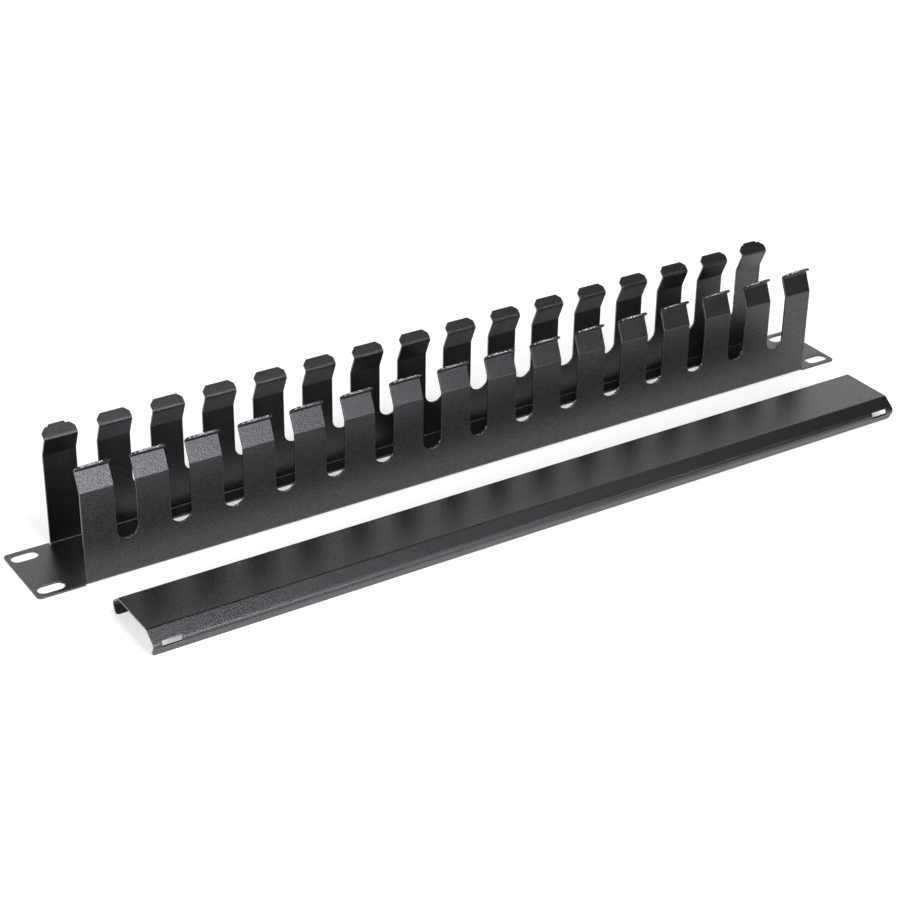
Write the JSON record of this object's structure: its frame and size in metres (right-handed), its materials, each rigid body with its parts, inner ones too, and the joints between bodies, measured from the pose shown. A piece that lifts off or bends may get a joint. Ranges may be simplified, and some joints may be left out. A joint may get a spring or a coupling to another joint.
{
  "type": "horizontal cable manager",
  "caption": "One-unit rack cable duct folded from black steel sheet, with slotted finger walls, cable holes in its back and its snap-fit cover lying beside it.",
  "frame": {"origin": "middle of the four rack slots, on the back face of the duct's panel", "axes": "+X along the duct, +Y towards its upper wall as it hangs in the rack, +Z out of the rack's front, away from the back face it lies on"},
  "size_m": [0.4826, 0.1153, 0.0641],
  "materials": {
    "black_powder_coat": "fine-textured matte black powder coat on steel sheet"
  },
  "bodies": {
    "root": {"duct_channel": "black_powder_coat", "snap_cover": "black_powder_coat"}
  },
  "joints": []
}
